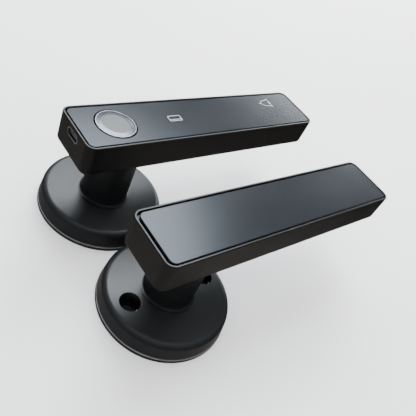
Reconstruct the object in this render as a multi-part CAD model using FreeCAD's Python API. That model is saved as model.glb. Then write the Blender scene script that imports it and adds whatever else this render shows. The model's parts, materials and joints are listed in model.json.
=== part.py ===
"""A pair of smart lever handles for one door, standing side by side on their roses.

Millimetres. The origin is the centre of the outside unit's rose on its mounting face.
+X runs along the levers to their free ends, +Z points out of the door face, and the
inside unit stands beside the outside one, towards -Y.
"""

import FreeCAD
import Part
import math
import os

V = FreeCAD.Vector
X_AXIS = V(1, 0, 0)
Y_AXIS = V(0, 1, 0)
Z_AXIS = V(0, 0, 1)

# ---- driving dimensions ----

UNIT_SPACING = 68.0         # between the two roses' centres
BOLT_SPACING = 43.2         # between the two through bolts, along X

ROSE_RADIUS = 33.0          # at the mounting face
GASKET_THICKNESS = 1.7
GASKET_INNER_RADIUS = 28.4
PLATE_TOP = 2.8
PLATE_CLEARANCE = 0.2       # the plate stands this far clear of the mounting face
PLATE_LIP_RADIUS = 32.9     # the plate's bright edge, just above the gasket
PLATE_LIP_TOP = 2.0
COVER_FOOT = 2.4            # the lower edge of the rose cover
COVER_FOOT_RADIUS = 32.8
COVER_SHOULDER_RADIUS = 31.6
COVER_TOP = 11.2
COVER_FILLET = 3.0
COVER_WALL = 2.0
COLLAR_RADIUS = 13.2        # the opening in the rose cover

NECK_RADIUS = 12.2
NECK_FOOT_RADIUS = 11.5     # the part of the neck inside the rose
NECK_BORE = 9.2
NECK_BOTTOM = 0.5
NECK_FLARE = 1.5

LEVER_LEFT = -27.3
LEVER_LENGTH = 156.5
LEVER_WIDTH = 31.4
LEVER_BOTTOM = 40.4
LEVER_TOP = 57.4
LEVER_CORNER = 4.8
LEVER_EDGE = 2.4            # rounding of the lower edges
LEVER_BEVEL = 0.35          # bright bevel round the upper edge
LEVER_WALL = 2.2
LEVER_FLOOR = 1.8
RIM = 1.0                   # width of the rim round the panel
PANEL_GAP = 0.85
PANEL_THICKNESS = 1.6
PANEL_DROP = 0.1            # the panel's face lies this far below the rim
COVER_END_GAP = 1.6         # finger gap at the left end of the battery cover

SENSOR_X = -5.6
SENSOR_HOLE = 10.8          # the opening for it in the panel
SENSOR_RING_OUTER = 10.1
SENSOR_RING_INNER = 9.35
SENSOR_DISC = 6.9

PORT_Z = 53.0
PORT_WIDTH = 8.94
PORT_HEIGHT = 3.26

THREAD_RADIUS = 2.1         # tapping radius of an M5 thread
BOLT_HOLE_RADIUS = 2.75
BOLT_RECESS_RADIUS = 5.0
BOLT_RECESS_FLOOR = 3.8
POST_TOP = 8.4

SPINDLE_SQUARE = 8.1        # socket for an 8 mm square spindle
SPINDLE_DEPTH = 9.0
HUB_RADIUS = 7.6
HUB_TOP = 12.0
DOG_TRAVEL = 2.5            # the clutch dog's stroke into the hub
SCREW_RADIUS = 1.0

SPRING_RADIUS = 13.9
SPRING_WIRE = 1.0
SPRING_TURNS = 3
SPRING_PITCH = 1.15
CAM_BOTTOM = 7.6
CAM_TOP = 8.8
CAM_RADIUS = 15.0
CAM_ARM_RADIUS = 22.0
CAM_ARM_HALF_ANGLE = 14.0
LEVER_SWING = 50.0          # degrees, from rest to the stop
STOP_MARGIN = 1.0           # degrees of clearance at each stop

BATTERY_RADIUS = 5.25
BATTERY_LENGTH = 44.0
BATTERY_START = 18.5
BATTERY_PITCH_X = 47.0
BATTERY_PITCH_Y = 11.2
BATTERY_Z = 48.9

BOLT_X = BOLT_SPACING / 2
LEVER_RIGHT = LEVER_LEFT + LEVER_LENGTH
FLOOR_TOP = LEVER_BOTTOM + LEVER_FLOOR
PANEL_TOP = LEVER_TOP - PANEL_DROP
PANEL_BOTTOM = PANEL_TOP - PANEL_THICKNESS
OUTSIDE = V(0, 0, 0)
INSIDE = V(0, -UNIT_SPACING, 0)

os.makedirs("parts", exist_ok=True)


# ---- building blocks ----

def save(name, shape, unit=OUTSIDE):
    """Place a piece in its unit and write it."""
    placed = shape.copy()
    placed.translate(unit)
    placed.exportStep("parts/" + name + ".step")


def cylinder(radius, low, high, x=0.0, y=0.0):
    return Part.makeCylinder(radius, high - low, V(x, y, low))


def tube(outer, inner, low, high, x=0.0, y=0.0):
    return cylinder(outer, low, high, x, y).cut(cylinder(inner, low - 1, high + 1, x, y))


def block(x0, x1, y0, y1, z0, z1):
    return Part.makeBox(x1 - x0, y1 - y0, z1 - z0, V(x0, y0, z0))


def rounded_block(x0, x1, y0, y1, z0, z1, corner):
    """A block whose upright edges are rounded."""
    solid = block(x0, x1, y0, y1, z0, z1)
    upright = [e for e in solid.Edges if abs(e.BoundBox.ZLength - (z1 - z0)) < 1e-6]
    return solid.makeFillet(corner, upright)


def revolve(points):
    """A solid of revolution about Z from a closed outline of (radius, z) points."""
    corners = [V(r, 0, z) for r, z in points]
    outline = Part.makePolygon(corners + corners[:1])
    return Part.Face(outline).revolve(V(0, 0, 0), Z_AXIS, 360)


def circles_at(solid, z, radius=None):
    """The circular edges of a solid at one height, and of one radius if it is given."""
    found = []
    for edge in solid.Edges:
        flat = edge.BoundBox.ZLength < 1e-6 and abs(edge.BoundBox.ZMin - z) < 1e-4
        round_edge = isinstance(edge.Curve, Part.Circle)
        if flat and round_edge and (radius is None or abs(edge.Curve.Radius - radius) < 1e-4):
            found.append(edge)
    return found


def edges_at(solid, z):
    """Every edge that lies flat at one height."""
    return [e for e in solid.Edges if e.BoundBox.ZLength < 1e-6 and abs(e.BoundBox.ZMin - z) < 1e-4]


def joined(solids):
    """One solid from pieces that overlap."""
    return solids[0].fuse(solids[1:]).removeSplitter()


def without(solid, cutters):
    for cutter in cutters:
        solid = solid.cut(cutter)
    return solid


def at_bolts(make):
    """The same piece at each of the two bolt positions."""
    return [make(-BOLT_X), make(BOLT_X)]


def square_socket(low, high):
    half = SPINDLE_SQUARE / 2
    return block(-half, half, -half, half, low, high)


# ---- the rose: gasket, plate, cover, bush ----

def gasket():
    ring = tube(ROSE_RADIUS, GASKET_INNER_RADIUS, 0, GASKET_THICKNESS)
    return ring.makeFillet(0.25, circles_at(ring, GASKET_THICKNESS, ROSE_RADIUS))


def stop_posts(side):
    """Two posts on the plate that the cam's arm comes against at each end of its swing."""
    posts = []
    reach = CAM_ARM_HALF_ANGLE + STOP_MARGIN
    post_half_angle = 4.0
    for centre in (90 - reach - post_half_angle, 90 + LEVER_SWING + reach + post_half_angle):
        post = block(18.4, 21.4, -1.3, 1.3, PLATE_TOP - 0.5, CAM_TOP)
        post.rotate(V(0, 0, 0), Z_AXIS, side * centre)
        posts.append(post)
    return posts


def mounting_plate(boss_radius, hole_radius, side):
    """A cast disc, stepped at its edge for the gasket, with two bosses and two stop posts."""
    groove = PLATE_LIP_RADIUS - 1.2
    disc = revolve([
        (NECK_FOOT_RADIUS + 0.06, 1.9),
        (15.0, 1.9),
        (15.0, PLATE_CLEARANCE),
        (GASKET_INNER_RADIUS - 0.1, PLATE_CLEARANCE),
        (GASKET_INNER_RADIUS - 0.1, GASKET_THICKNESS),
        (PLATE_LIP_RADIUS, GASKET_THICKNESS),
        (PLATE_LIP_RADIUS, PLATE_LIP_TOP),
        (groove, PLATE_LIP_TOP),
        (groove, COVER_FOOT),
        (COVER_FOOT_RADIUS - COVER_WALL - 0.35, COVER_FOOT),
        (COVER_FOOT_RADIUS - COVER_WALL - 0.35, PLATE_TOP),
        (NECK_FOOT_RADIUS + 0.06, PLATE_TOP),
    ])
    bosses = at_bolts(lambda x: cylinder(boss_radius, PLATE_CLEARANCE, BOLT_RECESS_FLOOR, x))
    solid = joined([disc] + bosses + stop_posts(side))
    spring_room = tube(NECK_FOOT_RADIUS + 4.0, NECK_FOOT_RADIUS - 1, PLATE_TOP, COVER_TOP)
    holes = at_bolts(lambda x: cylinder(hole_radius, -1, COVER_TOP, x))
    return without(solid, [spring_room] + holes)


def rose_cover(recess_radius):
    """The painted cap: a side wall that leans in, a rounded shoulder and a flat top."""
    outer = revolve([
        (0, COVER_FOOT),
        (COVER_FOOT_RADIUS, COVER_FOOT),
        (COVER_SHOULDER_RADIUS, COVER_TOP),
        (0, COVER_TOP),
    ])
    outer = outer.makeFillet(COVER_FILLET, circles_at(outer, COVER_TOP, COVER_SHOULDER_RADIUS))
    outer = outer.makeFillet(0.25, circles_at(outer, COVER_FOOT, COVER_FOOT_RADIUS))
    hollow = revolve([
        (0, COVER_FOOT - 1),
        (COVER_FOOT_RADIUS - COVER_WALL, COVER_FOOT - 1),
        (COVER_FOOT_RADIUS - COVER_WALL, COVER_FOOT),
        (COVER_SHOULDER_RADIUS - COVER_WALL - 0.4, COVER_TOP - COVER_WALL),
        (0, COVER_TOP - COVER_WALL),
    ])
    solid = without(outer, [hollow, cylinder(COLLAR_RADIUS, 0, COVER_TOP + 1)])
    if recess_radius:
        solid = without(solid, at_bolts(lambda x: cylinder(recess_radius, 0, COVER_TOP + 1, x)))
        rims = circles_at(solid, COVER_TOP, recess_radius)
        solid = solid.makeFillet(0.3, rims)
    return solid.makeFillet(0.3, circles_at(solid, COVER_TOP, COLLAR_RADIUS))


def collar_bush():
    """The plastic bearing that the neck turns in, held in the cover's opening."""
    running_gap = 0.08
    flange_radius = COLLAR_RADIUS + 1.1
    sleeve_top = COVER_TOP - 0.5
    return revolve([
        (NECK_RADIUS + running_gap, CAM_TOP + 0.3),
        (flange_radius, CAM_TOP + 0.3),
        (flange_radius, COVER_TOP - COVER_WALL),
        (COLLAR_RADIUS, COVER_TOP - COVER_WALL),
        (COLLAR_RADIUS, sleeve_top),
        (NECK_RADIUS + running_gap, sleeve_top),
    ])


def return_spring():
    """A torsion spring round the foot of the neck, each half turn a slanted half ring."""
    half_rise = SPRING_PITCH / 2
    slant = math.atan2(half_rise, 2 * SPRING_RADIUS)
    ring_radius = math.hypot(SPRING_RADIUS, half_rise / 2)
    first = PLATE_TOP + SPRING_WIRE / 2 + 0.15
    halves = []
    for step in range(2 * SPRING_TURNS):
        side = 1 if step % 2 == 0 else -1
        half = Part.makeTorus(ring_radius, SPRING_WIRE / 2, V(0, 0, 0), Z_AXIS, 0, 360, 180)
        half.rotate(V(0, 0, 0), Y_AXIS, math.degrees(slant))
        half.rotate(V(0, 0, 0), Z_AXIS, 90 - 90 * side)
        half.translate(V(0, 0, first + half_rise * (step + 0.5)))
        halves.append(half)
    return joined(halves)


# ---- the neck and what turns with it inside the rose ----

def neck():
    """A turned tube: a foot that runs in the plate, a flare above the rose, a long shank."""
    flare_foot = COVER_TOP + 0.12
    flare_edge = flare_foot + 0.25
    profile = [
        (NECK_BORE, NECK_BOTTOM),
        (NECK_FOOT_RADIUS, NECK_BOTTOM),
        (NECK_FOOT_RADIUS, CAM_TOP),
        (NECK_RADIUS, CAM_TOP),
        (NECK_RADIUS, flare_foot),
        (NECK_RADIUS + NECK_FLARE, flare_foot),
        (NECK_RADIUS + NECK_FLARE, flare_edge),
        (NECK_RADIUS, flare_edge),
        (NECK_RADIUS, LEVER_BOTTOM),
        (NECK_BORE, LEVER_BOTTOM),
    ]
    solid = revolve(profile)
    solid = solid.makeFillet(NECK_FLARE - 0.05, circles_at(solid, flare_edge, NECK_RADIUS))
    ring_groove = tube(NECK_FOOT_RADIUS + 1, NECK_FOOT_RADIUS - 0.5, 0.95, 1.75)
    pilots = [
        cylinder(1.2, LEVER_BOTTOM - 9, LEVER_BOTTOM + 1, x, y)
        for x, y in neck_screw_places()
    ]
    return without(solid, [ring_groove] + pilots)


def neck_screw_places():
    circle = (NECK_BORE + NECK_RADIUS) / 2
    places = []
    for step in range(4):
        turn = math.radians(45 + 90 * step)
        places.append((circle * math.cos(turn), circle * math.sin(turn)))
    return places


def neck_screws():
    """Four low-headed screws that hold the lever's floor down on the neck."""
    screws = []
    for x, y in neck_screw_places():
        shank = cylinder(1.15, LEVER_BOTTOM - 8, FLOOR_TOP, x, y)
        head = cylinder(2.1, FLOOR_TOP, FLOOR_TOP + 1.2, x, y)
        drive = cylinder(0.8, FLOOR_TOP + 0.5, FLOOR_TOP + 2, x, y)
        screws.append(joined([shank, head]).cut(drive))
    return Part.makeCompound(screws)


def retaining_ring():
    """A split ring in the neck's groove, under the plate."""
    ring = tube(13.4, NECK_FOOT_RADIUS - 0.45, 1.0, 1.7)
    return ring.cut(block(0, 20, -1.5, 1.5, 0, 3))


def return_cam(side):
    """A stamped disc on the neck whose arm meets the plate's posts at both ends."""
    disc = cylinder(CAM_RADIUS, CAM_BOTTOM, CAM_TOP)
    arm = Part.makeCylinder(CAM_ARM_RADIUS, CAM_TOP - CAM_BOTTOM, V(0, 0, CAM_BOTTOM), Z_AXIS,
                            2 * CAM_ARM_HALF_ANGLE)
    arm.rotate(V(0, 0, 0), Z_AXIS, side * 90 - CAM_ARM_HALF_ANGLE)
    return joined([disc, arm]).cut(cylinder(NECK_FOOT_RADIUS, 0, COVER_TOP))


# ---- the lever ----

def lever_outline(low, high, inset, corner, left_inset=None):
    """A rounded block in the lever's plan, drawn in from its outer faces."""
    half = LEVER_WIDTH / 2 - inset
    left = LEVER_LEFT + (inset if left_inset is None else left_inset)
    return rounded_block(left, LEVER_RIGHT - inset, -half, half, low, high, corner)


def lever_housing():
    """A cast tray: rounded below, a bevelled rim above, a ledge for the panel inside it."""
    outer = lever_outline(LEVER_BOTTOM, LEVER_TOP, 0, LEVER_CORNER)
    outer = outer.makeFillet(LEVER_EDGE, edges_at(outer, LEVER_BOTTOM))
    outer = outer.makeChamfer(LEVER_BEVEL, edges_at(outer, LEVER_TOP))
    hollow = lever_outline(FLOOR_TOP, LEVER_TOP + 1, LEVER_WALL, LEVER_CORNER - RIM)
    panel_seat = lever_outline(PANEL_BOTTOM, LEVER_TOP + 1, RIM, LEVER_CORNER - RIM)
    wire_hole = cylinder(NECK_BORE - 0.1, 0, LEVER_TOP)
    screw_holes = [cylinder(1.35, 0, LEVER_TOP, x, y) for x, y in neck_screw_places()]
    return without(outer, [hollow, panel_seat, wire_hole] + screw_holes)


def port_opening(grow, x0, x1):
    """The outline of the power port, a slot with round ends, run along X."""
    half_width = PORT_WIDTH / 2 + grow
    half_height = PORT_HEIGHT / 2 + grow
    slot = block(x0, x1, -half_width, half_width, PORT_Z - half_height, PORT_Z + half_height)
    along = [e for e in slot.Edges if e.BoundBox.XLength > (x1 - x0) - 1e-6]
    return slot.makeFillet(half_height - 0.01, along)


def top_panel(left_gap):
    """The flat plate in the lever's top, with a small gap all round."""
    inset = RIM + PANEL_GAP
    left = RIM + left_gap
    plate = lever_outline(PANEL_BOTTOM, PANEL_TOP, inset, LEVER_CORNER - inset, left)
    return plate.makeChamfer(0.2, edges_at(plate, PANEL_TOP))


def flex_cable(reach):
    """A flat ribbon from the boards down through the neck's bore into the rose."""
    thickness = 0.35
    width = 5.0
    x = -8.55
    upright = block(x, x + thickness, -width / 2, width / 2, 4.4, 44.8)
    over = block(x, reach, -width / 2, width / 2, 44.8 - thickness, 44.8)
    return joined([upright, over])


def cable_socket():
    """The header on the plate's back that the door cable plugs into."""
    body = block(-5.0, 5.0, 17.4, 22.4, PLATE_CLEARANCE + 0.1, PLATE_TOP)
    slot = block(-4.2, 4.2, 18.2, 21.6, PLATE_CLEARANCE - 1, 1.8)
    return body.cut(slot)


def cable_opening():
    return block(-5.0, 5.0, 17.4, 22.4, -1, PLATE_TOP + 1)


# ---- outside unit ----

def outside_rose():
    save("outside_gasket", gasket())
    side = 1
    plate = mounting_plate(6.2, 4.0, side).cut(mirrored(cable_opening()))
    save("outside_mounting_plate", plate)
    save("outside_rose_cover", rose_cover(None))
    save("outside_collar_bush", collar_bush())
    save("outside_return_spring", return_spring())
    posts = at_bolts(lambda x: tube(4.0, THREAD_RADIUS, 0, POST_TOP, x))
    save("outside_threaded_posts", Part.makeCompound(posts))
    save("outside_cable_socket", mirrored(cable_socket()))


def mirrored(solid):
    """The same solid on the other side of the lever's centre plane."""
    return solid.mirror(V(0, 0, 0), Y_AXIS)


def outside_clutch():
    """The hub that turns the spindle, and the dog that a small motor drives into it."""
    slot_half_width = 1.3
    hub = cylinder(HUB_RADIUS, NECK_BOTTOM, HUB_TOP)
    flange = cylinder(NECK_BORE - 0.1, 2.4, 3.6)
    dog_slot = block(-5.2, 5.2, -slot_half_width, slot_half_width, HUB_TOP - 2.4, HUB_TOP + 1)
    hub = joined([hub, flange])
    hub = without(hub, [square_socket(0, NECK_BOTTOM + SPINDLE_DEPTH), dog_slot])
    save("outside_spindle_hub", hub)

    dog_low = HUB_TOP + 0.6
    blade_half_width = slot_half_width - 0.15
    blade = block(-4.9, 4.9, -blade_half_width, blade_half_width, dog_low, dog_low + 4.0)
    nut = cylinder(2.6, dog_low + DOG_TRAVEL + 0.4, dog_low + 7.0)
    bore = cylinder(SCREW_RADIUS + 0.05, dog_low - 1, dog_low + 8)
    save("outside_clutch_dog", joined([blade, nut]).cut(bore))

    screw_high = 25.0
    screw = cylinder(SCREW_RADIUS, dog_low + 2.2, screw_high)
    save("outside_lead_screw", screw)

    frame_low = 22.2
    frame = tube(6.4, SCREW_RADIUS + 0.06, frame_low, frame_low + 1.2)
    guide = tube(6.4, 4.0, dog_low + 0.4, frame_low + 0.1)
    guide_slots = block(-8, 8, -slot_half_width, slot_half_width, dog_low - 1, frame_low)
    save("outside_clutch_frame", joined([frame, guide]).cut(guide_slots))

    motor_low = frame_low + 1.2
    motor = cylinder(6.0, motor_low, motor_low + 13.5)
    motor = motor.makeFillet(0.6, circles_at(motor, motor_low + 13.5))
    flats = [block(-8, 8, 5.0, 8, motor_low, 40), block(-8, 8, -8, -5.0, motor_low, 40)]
    motor = without(motor, flats + [cylinder(SCREW_RADIUS + 0.06, motor_low - 1, screw_high + 0.1)])
    save("outside_clutch_motor", motor)


def outside_lever():
    save("outside_neck", neck())
    save("outside_retaining_ring", retaining_ring())
    save("outside_return_cam", return_cam(1))
    save("outside_neck_screws", neck_screws())
    save("outside_flex_cable", flex_cable(2.0))

    port_depth = LEVER_LEFT + LEVER_WALL
    shell_back = LEVER_LEFT + 7.6
    housing = lever_housing().cut(port_opening(0.85, LEVER_LEFT - 1, port_depth + 1))
    save("outside_lever_housing", housing)
    shell = port_opening(0.6, LEVER_LEFT + 0.08, shell_back)
    shell = shell.cut(port_opening(0, LEVER_LEFT - 1, shell_back - 0.6))
    save("outside_port_shell", shell)
    tongue = block(LEVER_LEFT + 0.6, shell_back - 0.6, -3.35, 3.35, PORT_Z - 0.4, PORT_Z + 0.4)
    save("outside_port_tongue", tongue)

    panel = top_panel(PANEL_GAP)
    panel = panel.cut(cylinder(SENSOR_HOLE, 0, LEVER_TOP + 1, SENSOR_X))
    save("outside_touch_panel", panel)
    sensor()
    electronics()


def sensor():
    """A thin bright ring, a bezel that slopes up inside it, and the touch disc at its centre."""
    crest = PANEL_TOP + 0.2
    ring = revolve([
        (SENSOR_RING_INNER, PANEL_BOTTOM),
        (SENSOR_RING_OUTER, PANEL_BOTTOM),
        (SENSOR_RING_OUTER, crest),
        (SENSOR_RING_INNER, crest),
    ])
    ring = ring.makeFillet(0.2, circles_at(ring, crest))
    ring.translate(V(SENSOR_X, 0, 0))
    save("outside_fingerprint_ring", ring)

    bezel_foot = PANEL_TOP - 0.1
    bezel_crest = PANEL_TOP + 0.35
    bezel = revolve([
        (SENSOR_DISC + 0.12, PANEL_BOTTOM),
        (SENSOR_RING_INNER - 0.02, PANEL_BOTTOM),
        (SENSOR_RING_INNER - 0.02, bezel_foot),
        (SENSOR_DISC + 0.35, bezel_crest),
        (SENSOR_DISC + 0.12, bezel_crest),
    ])
    bezel.translate(V(SENSOR_X, 0, 0))
    save("outside_fingerprint_bezel", bezel)

    disc_top = bezel_crest - 0.15
    disc = cylinder(SENSOR_DISC, PANEL_BOTTOM - 1.2, disc_top, SENSOR_X)
    disc = disc.makeFillet(0.15, circles_at(disc, disc_top))
    save("outside_fingerprint_sensor", disc)


def electronics():
    """Boards, antenna and buzzer between the lever's floor and its panel."""
    board_top = PANEL_BOTTOM - 0.6
    board = rounded_block(8.0, 122.0, -12.0, 12.0, board_top - 1.0, board_top, 1.5)
    keys = [
        cylinder(4.0, board_top - 0.2, board_top + 0.3, 20.0 + 13.5 * column, 6.6 * row)
        for column in range(6)
        for row in (-1, 1)
    ]
    save("outside_touch_board", joined([board] + keys))

    control_low = 47.6
    control = rounded_block(12.0, 118.0, -12.0, 12.0, control_low, control_low + 1.2, 1.5)
    chips = [
        block(24, 33, -4.5, 4.5, control_low - 1.2, control_low + 0.1),
        block(44, 50, -3.0, 3.0, control_low - 1.0, control_low + 0.1),
        block(64, 76, -7.0, 7.0, control_low - 1.6, control_low + 0.1),
    ]
    save("outside_control_board", joined([control] + chips))

    turns = []
    for step in range(4):
        outer = 1.1 * step
        big = rounded_block(22.0 + outer, 60.0 - outer, -11.0 + outer, 11.0 - outer,
                            control_low + 1.2, control_low + 1.5, 3.0)
        small = rounded_block(22.5 + outer, 59.5 - outer, -10.5 + outer, 10.5 - outer,
                              control_low + 1.0, control_low + 1.7, 2.5)
        turns.append(big.cut(small))
    save("outside_card_antenna", Part.makeCompound(turns))

    buzzer = cylinder(4.8, control_low - 3.6, control_low, 100.0)
    buzzer = buzzer.cut(cylinder(0.8, control_low - 4.6, control_low - 2.6, 100.0))
    save("outside_buzzer", buzzer)


# ---- inside unit ----

def inside_rose():
    side = -1
    save("inside_gasket", gasket(), INSIDE)
    plate = mounting_plate(BOLT_RECESS_RADIUS + 1.3, 4.0, side).cut(cable_opening())
    save("inside_mounting_plate", plate, INSIDE)
    save("inside_rose_cover", rose_cover(BOLT_RECESS_RADIUS), INSIDE)
    save("inside_collar_bush", collar_bush(), INSIDE)
    save("inside_return_spring", return_spring(), INSIDE)
    bushes = at_bolts(bolt_bush)
    save("inside_bolt_bushes", Part.makeCompound(bushes), INSIDE)
    save("inside_cable_socket", cable_socket(), INSIDE)


def bolt_bush(x):
    """A cup with a hole in its floor that the through bolt's head pulls on.

    Its wall stands outside the cover's hole, so the recess keeps the hole's full width.
    """
    cup = cylinder(BOLT_RECESS_RADIUS + 0.3, BOLT_RECESS_FLOOR, COVER_TOP - COVER_WALL, x)
    inside = cylinder(BOLT_RECESS_RADIUS, BOLT_RECESS_FLOOR + 0.6, COVER_TOP, x)
    sleeve = cylinder(4.0, 0, BOLT_RECESS_FLOOR + 0.1, x)
    slit = block(x - 0.35, x + 0.35, -8, -4, BOLT_RECESS_FLOOR + 0.6, COVER_TOP)
    hole = cylinder(BOLT_HOLE_RADIUS, -1, COVER_TOP, x)
    return without(joined([cup.cut(inside), sleeve]), [slit, hole])


def inside_lever():
    save("inside_neck", neck(), INSIDE)
    save("inside_retaining_ring", retaining_ring(), INSIDE)
    save("inside_return_cam", return_cam(-1), INSIDE)
    save("inside_neck_screws", neck_screws(), INSIDE)
    save("inside_flex_cable", flex_cable(2.0), INSIDE)
    save("inside_lever_housing", lever_housing(), INSIDE)
    save("inside_battery_cover", top_panel(COVER_END_GAP), INSIDE)

    socket = cylinder(HUB_RADIUS, NECK_BOTTOM, HUB_TOP + 8.0)
    flange = cylinder(NECK_BORE - 0.01, 6.0, 9.0)
    socket = joined([socket, flange]).cut(square_socket(0, NECK_BOTTOM + SPINDLE_DEPTH + 5.0))
    ribbon_notch = block(-10, -8.0, -3, 3, 5, 10)
    save("inside_spindle_socket", socket.cut(ribbon_notch), INSIDE)
    power()


def power():
    """The board over the neck, and the tray with its four cells and their contacts."""
    board = rounded_block(-23.5, 13.0, -12.0, 12.0, 48.0, 49.2, 1.5)
    parts = [
        block(-20, -12, -4, 4, 49.1, 51.5),
        block(-4, 6, -5, 5, 49.1, 50.6),
    ]
    save("inside_power_board", joined([board] + parts), INSIDE)

    tray_x0 = 15.0
    tray_x1 = 115.5
    half = LEVER_WIDTH / 2 - LEVER_WALL - 0.3
    tray = block(tray_x0, tray_x1, -half, half, FLOOR_TOP + 0.1, 53.0)
    hollow = block(tray_x0 + 1.2, tray_x1 - 1.2, -half + 1.0, half - 1.0, FLOOR_TOP + 0.9, 60)
    rib_low = FLOOR_TOP + 0.5
    middle = BATTERY_START + BATTERY_PITCH_X - (BATTERY_PITCH_X - BATTERY_LENGTH) / 2
    rib = block(middle - 0.5, middle + 0.5, -half + 0.5, half - 0.5, rib_low, 49.0)
    save("inside_battery_tray", joined([tray.cut(hollow), rib]), INSIDE)

    cells = []
    contacts = []
    for column in range(2):
        for row in (-1, 1):
            x = BATTERY_START + BATTERY_PITCH_X * column
            y = row * BATTERY_PITCH_Y / 2
            cells.append(battery(x, y))
            contacts.append(contact(x - 0.75, y))
            contacts.append(contact(x + BATTERY_LENGTH + 0.35, y))
    save("inside_batteries", Part.makeCompound(cells), INSIDE)
    save("inside_battery_contacts", Part.makeCompound(contacts), INSIDE)


def battery(x, y):
    """One AAA cell lying along X, with its positive tip."""
    body = Part.makeCylinder(BATTERY_RADIUS, BATTERY_LENGTH - 1.0, V(x, y, BATTERY_Z), X_AXIS)
    body = body.makeFillet(0.5, [e for e in body.Edges if isinstance(e.Curve, Part.Circle)])
    tip = Part.makeCylinder(1.9, 1.5, V(x + BATTERY_LENGTH - 1.5, y, BATTERY_Z), X_AXIS)
    return joined([body, tip])


def contact(x, y):
    """A plated leaf that bears on one end of a cell."""
    return block(x, x + 0.4, y - 3.5, y + 3.5, BATTERY_Z - 3.5, BATTERY_Z + 3.5)


outside_rose()
outside_clutch()
outside_lever()
inside_rose()
inside_lever()
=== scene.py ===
"""Looks for a pair of black smart lever handles that stand on their roses.

Metres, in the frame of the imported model: the origin is the centre of the outside unit's
rose on its mounting face, +X runs along the levers, +Z points up out of the roses.
"""

import json
import math

import bmesh
import bpy
from mathutils import Matrix, Vector


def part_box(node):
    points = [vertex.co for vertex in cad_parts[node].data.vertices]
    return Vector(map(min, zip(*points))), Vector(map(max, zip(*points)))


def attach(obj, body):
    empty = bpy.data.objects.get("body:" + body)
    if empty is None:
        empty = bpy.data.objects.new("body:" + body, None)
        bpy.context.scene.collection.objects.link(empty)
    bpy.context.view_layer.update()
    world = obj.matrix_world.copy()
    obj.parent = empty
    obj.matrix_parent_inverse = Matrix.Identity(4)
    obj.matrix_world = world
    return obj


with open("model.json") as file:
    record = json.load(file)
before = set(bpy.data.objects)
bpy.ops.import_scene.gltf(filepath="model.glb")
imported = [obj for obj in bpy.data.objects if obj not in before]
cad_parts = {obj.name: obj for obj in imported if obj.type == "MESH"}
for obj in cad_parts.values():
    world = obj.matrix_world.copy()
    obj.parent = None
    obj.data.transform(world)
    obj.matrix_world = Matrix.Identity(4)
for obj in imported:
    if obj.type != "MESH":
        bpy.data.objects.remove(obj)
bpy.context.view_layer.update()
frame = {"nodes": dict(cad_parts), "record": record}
NODES = frame["nodes"]
MM = 0.001

# Sharp edges stay sharp above this angle, in degrees.
SHARP_ANGLE = 40

# Boxes of light that the object mirrors: name, azimuth and elevation in degrees,
# distance, width and height in metres, power in watts.
MIRRORED_LIGHTS = (
    ("key", 30, 56, 0.9, 0.62, 0.62, 13.0),
    ("low", 62, 15, 1.2, 0.70, 0.26, 6.5),
    ("back", 0, 24, 1.3, 0.60, 0.30, 1.5),
)
# Dim boxes that only soften the shadows: one overhead, the others in a ring.
TOP_LIGHT = (0, 88, 1.3, 1.2, 1.2, 15.0)
RING_POWERS = ((-100, 3.0), (-30, 4.0), (45, 18.0), (100, 4.0), (170, 3.0))
RING_ELEVATION = 34
RING_DISTANCE = 1.3
RING_SIZE = (0.8, 0.6)
KEY_TINT = (0.90, 0.96, 1.0)
FILL_TINT = (1.0, 0.985, 0.97)

WORLD_STRENGTH = 3.2
GROUND_LEVEL = 0.11
ZENITH_LEVEL = 0.25
GROUND_TINT = (1.0, 0.94, 0.90)
SKY_TINT = (0.88, 0.94, 1.0)
WALL_GLOW = 0.5


# ---- materials ----

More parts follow.
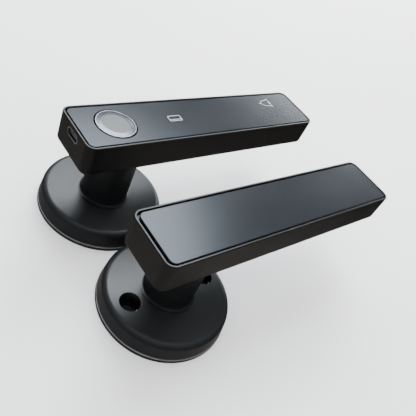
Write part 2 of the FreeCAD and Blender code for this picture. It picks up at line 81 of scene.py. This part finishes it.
class Surface:
    """A principled material, with short calls for the procedural detail it gets."""

    def __init__(self, name, colour, roughness, metallic=0.0, specular=0.5, coat=0.0,
                 coat_roughness=0.1):
        self.material = bpy.data.materials.new(name)
        self.material.use_nodes = True
        self.tree = self.material.node_tree
        self.shader = self.tree.nodes["Principled BSDF"]
        self.set("Base Color", (*colour, 1.0))
        self.set("Roughness", roughness)
        self.set("Metallic", metallic)
        self.set("Specular IOR Level", specular)
        self.set("Coat Weight", coat)
        self.set("Coat Roughness", coat_roughness)
        self.normal = None
        coordinates = self.node("ShaderNodeTexCoord")
        self.place = coordinates.outputs["Object"]

    def set(self, socket, value):
        self.shader.inputs[socket].default_value = value

    def node(self, kind, **values):
        made = self.tree.nodes.new(kind)
        for name, value in values.items():
            setattr(made, name, value)
        return made

    def link(self, source, target):
        self.tree.links.new(source, target)

    def stretched(self, scale, place=None):
        """Object coordinates in metres, times a scale along each axis."""
        mapping = self.node("ShaderNodeMapping")
        mapping.inputs["Scale"].default_value = scale
        self.link(place or self.place, mapping.inputs["Vector"])
        return mapping.outputs["Vector"]

    def noise(self, scale, detail=3.0, roughness=0.55, place=None):
        """A noise value; scale is cells per metre, one number or one along each axis."""
        scales = scale if isinstance(scale, tuple) else (scale, scale, scale)
        texture = self.node("ShaderNodeTexNoise")
        texture.inputs["Scale"].default_value = 1.0
        texture.inputs["Detail"].default_value = detail
        texture.inputs["Roughness"].default_value = roughness
        self.link(self.stretched(scales, place), texture.inputs["Vector"])
        return texture.outputs["Fac"]

    def ranged(self, value, low, high, from_low=0.3, from_high=0.7):
        """The value, spread over a new range."""
        spread = self.node("ShaderNodeMapRange")
        self.link(value, spread.inputs["Value"])
        spread.inputs["From Min"].default_value = from_low
        spread.inputs["From Max"].default_value = from_high
        spread.inputs["To Min"].default_value = low
        spread.inputs["To Max"].default_value = high
        return spread.outputs["Result"]

    def math(self, operation, first, second=0.0):
        made = self.node("ShaderNodeMath", operation=operation)
        for socket, value in zip(made.inputs, (first, second)):
            if isinstance(value, (int, float)):
                socket.default_value = value
            else:
                self.link(value, socket)
        return made.outputs["Value"]

    def bump(self, height, distance, strength=1.0):
        """Adds relief; distance is its depth in metres."""
        made = self.node("ShaderNodeBump")
        made.inputs["Distance"].default_value = distance
        made.inputs["Strength"].default_value = strength
        self.link(height, made.inputs["Height"])
        if self.normal:
            self.link(self.normal, made.inputs["Normal"])
        self.normal = made.outputs["Normal"]
        self.link(self.normal, self.shader.inputs["Normal"])
        return self

    def roughness_from(self, value, low, high):
        self.link(self.ranged(value, low, high), self.shader.inputs["Roughness"])
        return self

    def colour_between(self, value, first, second, from_low=0.3, from_high=0.7):
        """Varies the base colour between two colours."""
        mix = self.node("ShaderNodeMix", data_type="RGBA")
        self.link(self.ranged(value, 0.0, 1.0, from_low, from_high), mix.inputs["Factor"])
        colours = [s for s in mix.inputs if s.type == "RGBA"]
        colours[0].default_value = (*first, 1.0)
        colours[1].default_value = (*second, 1.0)
        outputs = [s for s in mix.outputs if s.type == "RGBA"]
        self.link(outputs[0], self.shader.inputs["Base Color"])
        return self


def satin_coating(name, darkness):
    """Satin powder coat with a fine grain; darkness scales its colour."""
    low = tuple(darkness * c for c in (0.80, 0.87, 0.97))
    high = tuple(darkness * c for c in (1.07, 1.13, 1.23))
    surface = Surface(name, high, 0.36, specular=0.4)
    grain = surface.noise(2600, detail=2.0)
    cloud = surface.noise(55, detail=4.0)
    surface.colour_between(cloud, low, high)
    surface.roughness_from(cloud, 0.33, 0.41)
    surface.bump(grain, 0.000012, 0.6)
    return surface.material


def anodised_housing():
    """Satin black housing of the levers, a little warmer than the roses."""
    surface = Surface("anodised_housing", (0.004, 0.0037, 0.0034), 0.38, specular=0.42)
    grain = surface.noise(3200, detail=2.0)
    cloud = surface.noise((30, 70, 70), detail=4.0)
    surface.colour_between(cloud, (0.0035, 0.0033, 0.0031), (0.0055, 0.0051, 0.0047))
    surface.roughness_from(cloud, 0.34, 0.43)
    surface.bump(grain, 0.000010, 0.6)
    return surface.material


def brushed_panel():
    """Dark panel with fine brushing along the lever."""
    surface = Surface("brushed_panel", (0.028, 0.032, 0.037), 0.22, metallic=0.7, specular=0.35)
    streaks = surface.noise((60, 1900, 1900), detail=5.0, roughness=0.7)
    cloud = surface.noise((25, 60, 60), detail=3.0)
    surface.colour_between(streaks, (0.0255, 0.0292, 0.0338), (0.0305, 0.0348, 0.0402))
    surface.roughness_from(cloud, 0.21, 0.24)
    surface.bump(streaks, 0.0000015, 0.5)
    return surface.material


def rubber():
    """Matt rubber of the gaskets."""
    surface = Surface("rubber", (0.012, 0.012, 0.012), 0.7, specular=0.35)
    grain = surface.noise(1500, detail=3.0)
    surface.colour_between(grain, (0.009, 0.009, 0.009), (0.016, 0.016, 0.016))
    surface.roughness_from(grain, 0.62, 0.8)
    surface.bump(grain, 0.00002, 0.6)
    return surface.material


def cast_zinc():
    """Grainy grey casting of the mounting plates."""
    surface = Surface("cast_zinc", (0.26, 0.26, 0.275), 0.45, metallic=0.4)
    grain = surface.noise(900, detail=5.0)
    surface.colour_between(grain, (0.22, 0.22, 0.235), (0.30, 0.30, 0.31))
    surface.roughness_from(grain, 0.36, 0.58)
    surface.bump(grain, 0.00003, 0.6)
    return surface.material


def machined_steel(name, lightness):
    """Bare steel with fine lines round it; lightness scales its colour."""
    base = tuple(lightness * c for c in (0.50, 0.50, 0.52))
    surface = Surface(name, base, 0.3, metallic=1.0)
    lines = surface.noise((260, 260, 5000), detail=3.0)
    surface.colour_between(lines, tuple(0.84 * c for c in base), tuple(1.16 * c for c in base))
    surface.roughness_from(lines, 0.22, 0.4)
    surface.bump(lines, 0.000006, 0.6)
    return surface.material


def polished_ring():
    """The bright ring round the fingerprint sensor."""
    surface = Surface("polished_ring", (0.20, 0.205, 0.235), 0.22, metallic=1.0)
    grain = surface.noise(3000, detail=2.0)
    surface.colour_between(grain, (0.185, 0.19, 0.22), (0.215, 0.22, 0.25))
    surface.roughness_from(grain, 0.18, 0.26)
    return surface.material


def sensor_glass():
    """The fingerprint sensor's smoked cover."""
    surface = Surface("sensor_glass", (0.060, 0.065, 0.069), 0.34, specular=0.4)
    grain = surface.noise(2200, detail=2.0)
    surface.colour_between(grain, (0.056, 0.061, 0.065), (0.066, 0.071, 0.075))
    surface.roughness_from(grain, 0.30, 0.38)
    surface.bump(grain, 0.000006, 0.4)
    return surface.material


def satin_bezel():
    """The sloping metal bezel between the sensor and its ring."""
    surface = Surface("satin_bezel", (0.13, 0.135, 0.15), 0.30, metallic=0.8)
    turning = surface.noise((1400, 1400, 1400), detail=3.0)
    surface.colour_between(turning, (0.115, 0.12, 0.135), (0.145, 0.15, 0.165))
    surface.roughness_from(turning, 0.26, 0.34)
    surface.bump(turning, 0.000004, 0.5)
    return surface.material


def moulded_plastic(name, colour):
    """Plain plastic, or a dull finish like it, with a fine grain."""
    surface = Surface(name, colour, 0.55, specular=0.4)
    grain = surface.noise(1800, detail=3.0)
    darker = tuple(0.8 * c for c in colour)
    lighter = tuple(1.2 * c for c in colour)
    surface.colour_between(grain, darker, lighter)
    surface.roughness_from(grain, 0.48, 0.64)
    surface.bump(grain, 0.000015, 0.6)
    return surface.material


def circuit_board():
    """Green solder mask over tracks that show as slightly raised lighter lines."""
    surface = Surface("circuit_board", (0.01, 0.07, 0.035), 0.35, specular=0.5, coat=0.2)
    cells = surface.node("ShaderNodeTexVoronoi", distance="MANHATTAN", feature="F1")
    cells.inputs["Scale"].default_value = 1.0
    surface.link(surface.stretched((420, 420, 420)), cells.inputs["Vector"])
    tracks = surface.math("FRACT", surface.math("MULTIPLY", cells.outputs["Distance"], 5.0))
    surface.colour_between(tracks, (0.008, 0.055, 0.028), (0.02, 0.13, 0.06), 0.55, 0.65)
    surface.bump(tracks, 0.00003, 0.5)
    return surface.material


def copper():
    """Bare copper of the card antenna."""
    surface = Surface("copper", (0.72, 0.36, 0.20), 0.3, metallic=1.0)
    grain = surface.noise(900, detail=3.0)
    surface.colour_between(grain, (0.62, 0.30, 0.16), (0.80, 0.42, 0.24))
    surface.roughness_from(grain, 0.24, 0.4)
    return surface.material


def battery_jacket():
    """The dark printed sleeve of a cell."""
    surface = Surface("battery_jacket", (0.03, 0.05, 0.09), 0.28, metallic=0.2, coat=0.4)
    scuffs = surface.noise(400, detail=4.0)
    surface.colour_between(scuffs, (0.022, 0.032, 0.060), (0.034, 0.048, 0.085))
    surface.roughness_from(scuffs, 0.22, 0.36)
    return surface.material


def amber_film():
    """Amber film of the flex cables, lined along their length."""
    surface = Surface("amber_film", (0.45, 0.17, 0.03), 0.35, specular=0.5, coat=0.3)
    lines = surface.noise((90, 2200, 90), detail=2.0)
    surface.colour_between(lines, (0.36, 0.12, 0.02), (0.52, 0.22, 0.05))
    surface.roughness_from(lines, 0.28, 0.42)
    return surface.material


def icon_print():
    """Pale ink of the signs."""
    surface = Surface("icon_print", (0.50, 0.52, 0.54), 0.5, specular=0.4)
    grain = surface.noise(2500, detail=2.0)
    surface.colour_between(grain, (0.46, 0.48, 0.50), (0.54, 0.56, 0.58))
    surface.roughness_from(grain, 0.45, 0.6)
    return surface.material


SLOT_MATERIALS = {
    "black_coating": satin_coating("rose_coating", 0.010),
    # The neck gets a darker copy of the rose coating: painted shade, the darker colour stands in
    # for the shade on the neck
    "neck_coating": satin_coating("neck_coating", 0.006),
    "black_anodised": anodised_housing(),
    "panel_black": brushed_panel(),
    "rubber_black": rubber(),
    "cast_zinc": cast_zinc(),
    "steel": machined_steel("machined_steel", 1.0),
    "blackened_steel": moulded_plastic("blackened_steel", (0.003, 0.003, 0.0032)),
    "bright_ring": polished_ring(),
    "sensor_grey": sensor_glass(),
    "bezel_grey": satin_bezel(),
    "bush_plastic": moulded_plastic("bush_plastic", (0.008, 0.008, 0.008)),
    "black_plastic": moulded_plastic("black_plastic", (0.018, 0.018, 0.020)),
    "circuit_board": circuit_board(),
    "copper": copper(),
    "port_metal": machined_steel("port_metal", 1.25),
    "battery_jacket": battery_jacket(),
    "ribbon_amber": amber_film(),
}
ICON_PRINT = icon_print()
CELL_BAND = moulded_plastic("cell_band", (0.42, 0.19, 0.035))
RED_WIRE = moulded_plastic("red_wire", (0.38, 0.012, 0.010))
BLACK_WIRE = moulded_plastic("black_wire", (0.010, 0.010, 0.010))


def paint_nodes():
    """Each CAD node takes the material of its slot in the record."""
    for row in frame["record"]["subparts"]:
        node = NODES[row["node"]]
        material = SLOT_MATERIALS[row["material_slot"]]
        if not node.material_slots:
            node.data.materials.append(material)
        for holder in node.material_slots:
            holder.material = material


# ---- pieces ----

def add_piece(name, mesh, material, body):
    """A finished mesh becomes a piece that rides on a body."""
    mesh.materials.append(material)
    piece = bpy.data.objects.new(name, mesh)
    bpy.context.scene.collection.objects.link(piece)
    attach(piece, body)
    return piece


def ribbon_mesh(name, paths, width, low, thickness):
    """Flat printed strokes of one width along paths of (x, y) points."""
    mesh = bmesh.new()
    for points, closed in paths:
        count = len(points)
        rings = []
        for i, here in enumerate(points):
            before = points[i - 1] if (i or closed) else here
            after = points[(i + 1) % count] if (i < count - 1 or closed) else here
            along_in = (Vector(here) - Vector(before)).normalized() if here != before else None
            along_out = (Vector(after) - Vector(here)).normalized() if after != here else None
            along_in = along_in or along_out
            along_out = along_out or along_in
            normal_in = Vector((-along_in.y, along_in.x))
            normal_out = Vector((-along_out.y, along_out.x))
            mitre = (normal_in + normal_out).normalized()
            reach = width / 2 / max(0.5, mitre.dot(normal_in))
            corners = []
            for side in (-1, 1):
                for z in (low, low + thickness):
                    spot = Vector(here) + side * reach * mitre
                    corners.append(mesh.verts.new((spot.x, spot.y, z)))
            rings.append(corners)
        last = count if closed else count - 1
        for i in range(last):
            a = rings[i]
            b = rings[(i + 1) % count]
            for p, q in ((0, 1), (1, 3), (3, 2), (2, 0)):
                mesh.faces.new((a[p], a[q], b[q], b[p]))
        if not closed:
            for ring, turn in ((rings[0], 1), (rings[-1], -1)):
                order = (ring[0], ring[2], ring[3], ring[1])
                mesh.faces.new(order if turn > 0 else tuple(reversed(order)))
    bmesh.ops.recalc_face_normals(mesh, faces=mesh.faces)
    data = bpy.data.meshes.new(name)
    mesh.to_mesh(data)
    mesh.free()
    return data


def arc(centre, radius, start, end, steps):
    """Points along an arc, angles in degrees."""
    points = []
    for i in range(steps + 1):
        turn = math.radians(start + (end - start) * i / steps)
        points.append((centre[0] + radius * math.cos(turn), centre[1] + radius * math.sin(turn)))
    return points


def rounded_rectangle(x0, x1, y0, y1, corner, steps=5):
    """Points round a rectangle with round corners."""
    points = []
    for cx, cy, start in ((x1 - corner, y1 - corner, 0), (x0 + corner, y1 - corner, 90),
                          (x0 + corner, y0 + corner, 180), (x1 - corner, y0 + corner, 270)):
        points += arc((cx, cy), corner, start, start + 90, steps)
    return points


def scaled(points):
    """Millimetres to metres."""
    return [(x * MM, y * MM) for x, y in points]


def tube_mesh(name, path, radius, sides=10):
    """A round rod along a path of points, closed at both ends."""
    mesh = bmesh.new()
    rings = []
    across = Vector((0, 0, 1))
    for i, here in enumerate(path):
        ahead = Vector(path[min(i + 1, len(path) - 1)]) - Vector(path[max(i - 1, 0)])
        ahead.normalize()
        across = (across - across.dot(ahead) * ahead)
        if across.length < 1e-6:
            across = ahead.orthogonal()
        across.normalize()
        other = ahead.cross(across)
        ring = []
        for k in range(sides):
            turn = 2 * math.pi * k / sides
            spot = Vector(here) + radius * (math.cos(turn) * across + math.sin(turn) * other)
            ring.append(mesh.verts.new(spot))
        rings.append(ring)
    for near, far in zip(rings, rings[1:]):
        for k in range(sides):
            n = (k + 1) % sides
            mesh.faces.new((near[k], near[n], far[n], far[k]))
    mesh.faces.new(tuple(reversed(rings[0])))
    mesh.faces.new(tuple(rings[-1]))
    return finished(name, mesh)


def turned_mesh(name, profile, centre, steps=40):
    """A closed ring turned from (along, radius) points about a line along X."""
    mesh = bmesh.new()
    rings = []
    for i in range(steps):
        turn = 2 * math.pi * i / steps
        ring = []
        for along, radius in profile:
            spot = (along, radius * math.cos(turn), radius * math.sin(turn))
            ring.append(mesh.verts.new(Vector(centre) + Vector(spot)))
        rings.append(ring)
    count = len(profile)
    for i in range(steps):
        here, there = rings[i], rings[(i + 1) % steps]
        for k in range(count):
            n = (k + 1) % count
            mesh.faces.new((here[k], here[n], there[n], there[k]))
    return finished(name, mesh)


def rounded_box_mesh(name, low, high, corner):
    """A box with all its edges rounded."""
    mesh = bmesh.new()
    bmesh.ops.create_cube(mesh, size=1.0)
    middle = (Vector(low) + Vector(high)) / 2
    size = Vector(high) - Vector(low)
    for vertex in mesh.verts:
        vertex.co = Vector(a * b for a, b in zip(vertex.co, size)) + middle
    bmesh.ops.bevel(mesh, geom=list(mesh.edges), offset=corner, segments=3, affect="EDGES")
    return finished(name, mesh)


def finished(name, mesh):
    """A bmesh written out as smooth-shaded mesh data."""
    bmesh.ops.recalc_face_normals(mesh, faces=mesh.faces)
    data = bpy.data.meshes.new(name)
    mesh.to_mesh(data)
    mesh.free()
    data.shade_smooth()
    data.set_sharp_from_angle(angle=math.radians(SHARP_ANGLE))
    return data


def icons():
    """The card and bell signs on the touch panel."""
    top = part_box("outside_touch_panel")[1][2]
    low = top - 0.01 * MM
    thickness = 0.05 * MM
    stroke = 0.28 * MM
    card = [
        (scaled(rounded_rectangle(25.8, 33.5, -1.9, 2.0, 0.6)), True),
        (scaled([(26.0, -0.85), (33.3, -0.85)]), False),
    ]
    mesh = ribbon_mesh("card_icon", card, stroke, low, thickness)
    add_piece("card_icon", mesh, ICON_PRINT, "outside_lever")

    knob_x, bell_y = 97.9, 6.0
    side = [(9.4, 3.5), (7.6, 2.75), (5.2, 2.35), (3.6, 2.0), (2.5, 1.2), (2.1, 0.0)]
    outline = side + [(u, -v) for u, v in reversed(side[:-1])]
    clapper = [(9.4 + 0.45 * math.cos(turn), 1.25 * math.sin(turn))
               for turn in (math.radians(30 * step) for step in range(12))]
    stem = [(0.2, 0.0), (1.9, 0.0)]

    def on_panel(points):
        return scaled([(knob_x + u, bell_y + v) for u, v in points])

    bell = [(on_panel(outline), True), (on_panel(clapper), True), (on_panel(stem), False)]
    mesh = ribbon_mesh("bell_icon", bell, stroke, low, thickness)
    add_piece("bell_icon", mesh, ICON_PRINT, "outside_lever")


def recess_ribs():
    """A small bright rib just inside each bolt recess of the inside rose."""
    low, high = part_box("inside_bolt_bushes")
    centre_y = (low[1] + high[1]) / 2
    bush_radius = 5.3 * MM
    reach = (high[0] - low[0]) / 2 - bush_radius
    for name, x in (("recess_rib_left", -reach), ("recess_rib_right", reach)):
        near = (x + 0.9 * MM, centre_y - 4.85 * MM, 4.5 * MM)
        far = (x + 1.6 * MM, centre_y - 4.15 * MM, 10.7 * MM)
        mesh = rounded_box_mesh(name, near, far, 0.2 * MM)
        add_piece(name, mesh, SLOT_MATERIALS["port_metal"], "inside_rose")


def port_contacts():
    """Flat plated contacts on both sides of the port's tongue."""
    low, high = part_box("outside_port_tongue")
    for step in range(8):
        y = low[1] + (high[1] - low[1]) * (step + 0.5) / 8
        near = (low[0] - 0.03 * MM, y - 0.17 * MM, low[2] - 0.04 * MM)
        far = (low[0] + 4.0 * MM, y + 0.17 * MM, high[2] + 0.04 * MM)
        mesh = rounded_box_mesh("port_contact_%d" % step, near, far, 0.03 * MM)
        add_piece("port_contact_%d" % step, mesh, SLOT_MATERIALS["port_metal"], "outside_lever")


def battery_bay():
    """What shows under the battery cover: bands on the cells, springs, signs, wires, parts."""
    low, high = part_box("inside_batteries")
    centre_y = (low[1] + high[1]) / 2
    centre_z = (low[2] + high[2]) / 2
    radius = (high[2] - low[2]) / 2
    length = 44.0 * MM
    second = high[0] - length
    row_offset = 5.6 * MM
    band_from_end, band_length, skin = 13.0 * MM, 11.0 * MM, 0.06 * MM
    turns, points_per_turn = 4, 14
    spring_wire = 0.14 * MM
    plus_from_end, minus_from_start = 17.0 * MM, 8.0 * MM
    arm, stroke = 1.3 * MM, 0.4 * MM
    rows = ((-1, "low"), (1, "high"))
    for column, start in enumerate((low[0], second)):
        for side, row in rows:
            tag = "%d_%s" % (column, row)
            y = centre_y + side * row_offset
            band_start = start + length - band_from_end
            band_end = band_start + band_length
            band = [(band_start, radius - skin), (band_start, radius + skin),
                    (band_end, radius + skin), (band_end, radius - skin)]
            mesh = turned_mesh("cell_band_" + tag, band, (0, y, centre_z))
            add_piece("cell_band_" + tag, mesh, CELL_BAND, "inside_lever")

            coil = []
            for i in range(turns * points_per_turn + 1):
                along = i / (turns * points_per_turn)
                angle = 2 * math.pi * turns * along
                wide = (3.0 - 1.3 * along) * MM
                coil.append((start - 0.32 * MM + 0.25 * MM * along, y + wide * math.cos(angle),
                             centre_z + wide * math.sin(angle)))
            mesh = tube_mesh("cell_spring_" + tag, coil, spring_wire, 8)
            add_piece("cell_spring_" + tag, mesh, SLOT_MATERIALS["steel"], "inside_lever")

            top = centre_z + radius + 0.01 * MM
            plus_x, minus_x = start + length - plus_from_end, start + minus_from_start
            signs = [
                ([(plus_x - arm, y), (plus_x + arm, y)], False),
                ([(plus_x, y - arm), (plus_x, y + arm)], False),
                ([(minus_x, y - arm), (minus_x, y + arm)], False),
            ]
            mesh = ribbon_mesh("cell_signs_" + tag, signs, stroke, top - 0.12 * MM, 0.16 * MM)
            add_piece("cell_signs_" + tag, mesh, ICON_PRINT, "inside_lever")

    board_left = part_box("inside_power_board")[0][0]
    top = 49.2 * MM
    chip_offset, chip_half = 8.0, 0.9 * MM
    for step in range(6):
        x = board_left + (3.0 + 5.6 * step) * MM
        y = centre_y + (chip_offset if step % 2 else -chip_offset) * MM
        near = (x, y - chip_half, top - 0.05 * MM)
        far = (x + 2 * chip_half, y + chip_half, top + 0.8 * MM)
        mesh = rounded_box_mesh("chip_%d" % step, near, far, 0.12 * MM)
        add_piece("chip_%d" % step, mesh, SLOT_MATERIALS["black_plastic"], "inside_lever")
    wire_radius = 0.55 * MM
    for name, side, material in (("wire_red", 1, RED_WIRE), ("wire_black", -1, BLACK_WIRE)):
        y = centre_y + side * 2.0 * MM
        knots = [(7.2, 0.6), (9.4, 1.6), (12.0, 1.0), (14.2, 1.4), (16.4, 3.6)]
        path = [(x * MM, y + side * 0.25 * (x - 7.2) * MM, top + z * MM) for x, z in knots]
        mesh = tube_mesh(name, smooth_path(path), wire_radius)
        add_piece(name, mesh, material, "inside_lever")


def smooth_path(knots, steps=6):
    """Points along a curve through the knots."""
    points = [Vector(k) for k in knots]
    ends = [2 * points[0] - points[1]] + points + [2 * points[-1] - points[-2]]
    path = []
    for a, b, c, d in zip(ends, ends[1:], ends[2:], ends[3:]):
        for step in range(steps):
            t = step / steps
            path.append(0.5 * (2 * b + (c - a) * t + (2 * a - 5 * b + 4 * c - d) * t * t
                               + (3 * b - a - 3 * c + d) * t ** 3))
    return path + [points[-1]]


# ---- floor, light, camera ----

def floor():
    """A pale round sheet that the roses stand on, swept up into a wall far behind them."""
    drop = -0.1 * MM
    flat, bend, wall = 2.0, 0.8, 2.6
    profile = [(flat * i / 4, drop) for i in range(5)]
    for i in range(1, 9):
        turn = math.radians(90 * i / 8)
        profile.append((flat + bend * math.sin(turn), drop + bend * (1 - math.cos(turn))))
    profile.append((flat + bend, wall))
    steps = 64
    mesh = bmesh.new()
    centre = mesh.verts.new((0, 0, drop))
    rings = []
    for radius, height in profile[1:]:
        rings.append([
            mesh.verts.new((radius * math.cos(2 * math.pi * k / steps),
                            radius * math.sin(2 * math.pi * k / steps), height))
            for k in range(steps)
        ])
    for k in range(steps):
        n = (k + 1) % steps
        mesh.faces.new((centre, rings[0][k], rings[0][n]))
        for inner, outer in zip(rings, rings[1:]):
            mesh.faces.new((inner[k], outer[k], outer[n], inner[n]))
    sheet = bpy.data.objects.new("floor", finished("floor", mesh))
    bpy.context.scene.collection.objects.link(sheet)
    surface = Surface("floor_paper", (0.80, 0.80, 0.805), 0.9, specular=0.1)
    cloud = surface.noise(6, detail=2.0)
    surface.colour_between(cloud, (0.79, 0.79, 0.795), (0.81, 0.81, 0.815))
    parts = surface.node("ShaderNodeSeparateXYZ")
    surface.link(surface.place, parts.inputs["Vector"])
    glow = surface.ranged(parts.outputs["Z"], 0.0, WALL_GLOW, 0.02, bend)
    surface.link(glow, surface.shader.inputs["Emission Strength"])
    surface.set("Emission Color", (0.95, 0.97, 1.0, 1.0))
    sheet.data.materials.append(surface.material)
    sheet.visible_glossy = False


def towards(azimuth, elevation):
    """A direction: azimuth from +Y towards +X, elevation above the floor, both in degrees."""
    heading = math.radians(azimuth)
    height = math.radians(elevation)
    level = math.cos(height)
    return Vector((math.sin(heading) * level, math.cos(heading) * level, math.sin(height)))


def softbox(name, azimuth, elevation, distance, width, height, power, colour):
    """An elliptical softbox that faces the middle of the two levers."""
    middle = Vector((0.05, -0.03, 0.04))
    data = bpy.data.lights.new(name, "AREA")
    data.shape = "ELLIPSE"
    data.size = width
    data.size_y = height
    data.energy = power
    data.color = colour
    light = bpy.data.objects.new(name, data)
    bpy.context.scene.collection.objects.link(light)
    away = towards(azimuth, elevation)
    light.location = middle + distance * away
    light.rotation_euler = (-away).to_track_quat("-Z", "Y").to_euler()
    return light


def world_light():
    """Soft light from above the horizon, and almost none from below it."""
    world = bpy.data.worlds.new("studio")
    world.use_nodes = True
    tree = world.node_tree
    background = tree.nodes["Background"]
    direction = tree.nodes.new("ShaderNodeTexCoord")
    parts = tree.nodes.new("ShaderNodeSeparateXYZ")
    ramp = tree.nodes.new("ShaderNodeValToRGB")
    tree.links.new(direction.outputs["Generated"], parts.inputs["Vector"])
    height = tree.nodes.new("ShaderNodeMapRange")
    height.inputs["From Min"].default_value = -1.0
    tree.links.new(parts.outputs["Z"], height.inputs["Value"])
    tree.links.new(height.outputs["Result"], ramp.inputs["Fac"])
    tree.links.new(ramp.outputs["Color"], background.inputs["Color"])
    stops = ramp.color_ramp.elements
    stops[0].position = 0.0
    stops[0].color = (*(GROUND_LEVEL * c for c in GROUND_TINT), 1.0)
    stops[1].position = 1.0
    stops[1].color = (*(ZENITH_LEVEL * c for c in SKY_TINT), 1.0)
    for height_stop, level, tint in (
        (-0.70, GROUND_LEVEL, GROUND_TINT), (-0.45, 0.14 * GROUND_LEVEL, GROUND_TINT),
        (-0.05, 0.006, GROUND_TINT), (0.15, 0.015, SKY_TINT), (0.45, 0.035, SKY_TINT),
        (0.68, 0.10, SKY_TINT), (0.90, 0.22, SKY_TINT),
    ):
        stop = stops.new((height_stop + 1) / 2)
        stop.color = (*(level * c for c in tint), 1.0)
    background.inputs["Strength"].default_value = WORLD_STRENGTH
    bpy.context.scene.world = world


def camera():
    """Set by where it looks from, its heading, its tilt and its roll."""
    eye = Vector((-0.1302, -0.1574, 0.1975))
    azimuth = math.radians(54.97)
    elevation = math.radians(39.59)
    roll = math.radians(28.25)
    focal_length = 43.32
    level = math.cos(elevation)
    forward = Vector((math.sin(azimuth) * level, math.cos(azimuth) * level, -math.sin(elevation)))
    level_right = forward.cross(Vector((0, 0, 1))).normalized()
    level_up = level_right.cross(forward)
    right = level_right * math.cos(roll) + level_up * math.sin(roll)
    up = right.cross(forward)
    data = bpy.data.cameras.new("camera")
    data.sensor_width = 36.0
    data.lens = focal_length
    data.clip_start = 0.01
    view = bpy.data.objects.new("camera", data)
    bpy.context.scene.collection.objects.link(view)
    turn = Matrix((right, up, -forward)).transposed()
    view.matrix_world = Matrix.Translation(eye) @ turn.to_4x4()
    bpy.context.scene.camera = view


def lights():
    """Softboxes the object mirrors, and a ring of dim ones that only soften the shadows."""
    for row in MIRRORED_LIGHTS:
        softbox(*row, KEY_TINT)
    soft = [softbox("top", *TOP_LIGHT, FILL_TINT)]
    for azimuth, power in RING_POWERS:
        name = "around_%d" % (azimuth % 360)
        soft.append(softbox(name, azimuth, RING_ELEVATION, RING_DISTANCE, *RING_SIZE, power,
                            FILL_TINT))
    for light in soft:
        light.visible_glossy = False


paint_nodes()
icons()
recess_ribs()
port_contacts()
battery_bay()
floor()
world_light()
lights()
camera()
